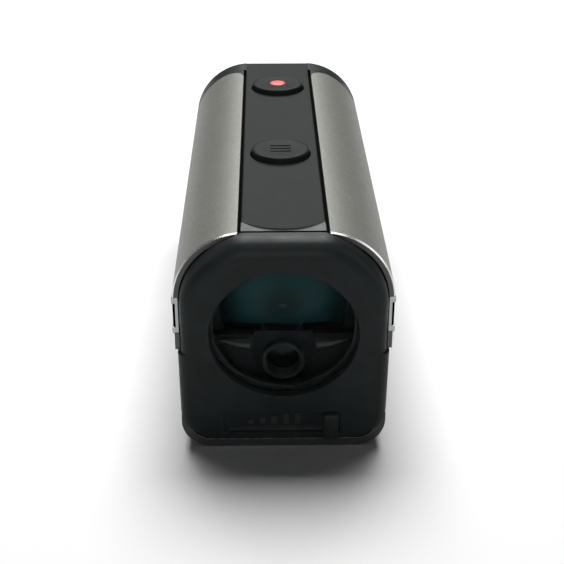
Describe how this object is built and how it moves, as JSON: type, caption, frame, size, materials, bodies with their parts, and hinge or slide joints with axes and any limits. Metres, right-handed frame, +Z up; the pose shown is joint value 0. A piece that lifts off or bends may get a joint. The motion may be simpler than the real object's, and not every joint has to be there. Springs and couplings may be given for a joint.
{
  "type": "handheld laser speed and range finder",
  "caption": "Compact handheld laser speed and range finder: boxy case with round front window, two top buttons, slide switch, focusing eyepiece and battery door",
  "frame": {"origin": "middle of the flat base, at its height", "axes": "+Z up, the front window looks along -Y, the eyepiece along +Y, +X to the right of someone who faces the front window"},
  "size_m": [0.0422, 0.1228, 0.048],
  "materials": {
    "black_case": "fine moulded satin black",
    "shell_metal": "champagne grey satin metallic",
    "strip_black": "smooth satin black",
    "trim_chrome": "bright plated",
    "trim_insert": "ribbed black",
    "tray_metal": "dark gunmetal satin",
    "window_glass": "coated clear",
    "lens_glass": "teal coated",
    "inner_black": "anti-glare matt black",
    "seal_rubber": "soft black",
    "button_black": "satin black with a polished rim",
    "dot_red": "glossy red",
    "switch_white": "natural nylon",
    "board_green": "solder-masked board",
    "chip_black": "moulded package",
    "ribbon_amber": "polyimide film",
    "contact_steel": "nickel plated",
    "screw_steel": "black oxide",
    "bush_brass": "turned brass",
    "can_gold": "gold-plated can",
    "cell_label": "plain wrapped cell",
    "display_glass": "liquid crystal panel"
  },
  "bodies": {
    "case": {"front_bezel": "black_case", "front_window": "window_glass", "window_seal": "seal_rubber", "window_retainer": "inner_black", "baffle_plate": "inner_black", "objective_cell": "inner_black", "objective_lens": "lens_glass", "laser_tube": "inner_black", "laser_lens": "lens_glass", "laser_diode": "can_gold", "front_bulkhead": "inner_black", "housing": "black_case", "left_shell": "shell_metal", "right_shell": "shell_metal", "left_trim_frame": "trim_chrome", "right_trim_frame": "trim_chrome", "left_trim_insert": "trim_insert", "right_trim_insert": "trim_insert", "top_strip": "strip_black", "bottom_tray": "tray_metal", "rear_bezel": "black_case", "eyepiece_sleeve": "inner_black", "prism_cage": "inner_black", "roof_prism": "lens_glass", "half_prism": "lens_glass", "detector_can": "can_gold", "detector_board": "board_green", "display_frame": "inner_black", "display": "display_glass", "main_board": "board_green", "board_chips": "chip_black", "button_board": "board_green", "power_switch": "chip_black", "mode_switch": "chip_black", "button_ribbon": "ribbon_amber", "slide_board": "board_green", "battery_cradle": "inner_black", "battery_cell": "cell_label", "contact_plate": "contact_steel", "contact_leaf": "contact_steel", "door_pin": "contact_steel", "tripod_bush": "bush_brass", "tray_screws": "screw_steel", "side_screws": "screw_steel", "board_screws": "screw_steel"},
    "power_button": {"power_cap": "button_black", "power_dot": "dot_red", "power_plunger": "switch_white"},
    "mode_button": {"mode_cap": "button_black", "mode_plunger": "switch_white"},
    "slide_switch": {"slide_knob": "black_case", "slide_carriage": "switch_white"},
    "eyepiece": {"eyepiece_barrel": "inner_black", "field_lens": "lens_glass", "eye_lens": "lens_glass", "eyecup": "seal_rubber"},
    "dioptre": {"dioptre_ring": "black_case"},
    "door": {"battery_door": "tray_metal"}
  },
  "joints": [
    {"name": "power_press", "type": "slide", "parent": "case", "child": "power_button", "axis": [0, 0, -1], "range_m": [0, 0.0005], "stiffness_N_per_m": 1500, "springref_m": -0.0008},
    {"name": "mode_press", "type": "slide", "parent": "case", "child": "mode_button", "axis": [0, 0, -1], "range_m": [0, 0.0005], "stiffness_N_per_m": 1500, "springref_m": -0.0008},
    {"name": "slope_slide", "type": "slide", "parent": "case", "child": "slide_switch", "axis": [1, 0, 0], "range_m": [-0.0189, 0]},
    {"name": "dioptre_turn", "type": "hinge", "parent": "case", "child": "dioptre", "pos_m": [0, 0.05144, 0.027], "axis": [0, 1, 0], "range_deg": [-120, 120]},
    {"name": "eyepiece_focus", "type": "slide", "parent": "case", "child": "eyepiece", "axis": [0, 1, 0], "range_m": [-0.0012, 0.0012]},
    {"name": "battery_hatch", "type": "hinge", "parent": "case", "child": "door", "pos_m": [0, 0.01954, 0.0019], "axis": [1, 0, 0], "range_deg": [0, 90]}
  ],
  "couplings": [
    {"joint": "dioptre_turn", "follows": "eyepiece_focus", "rad_per_m": 1745.2}
  ]
}
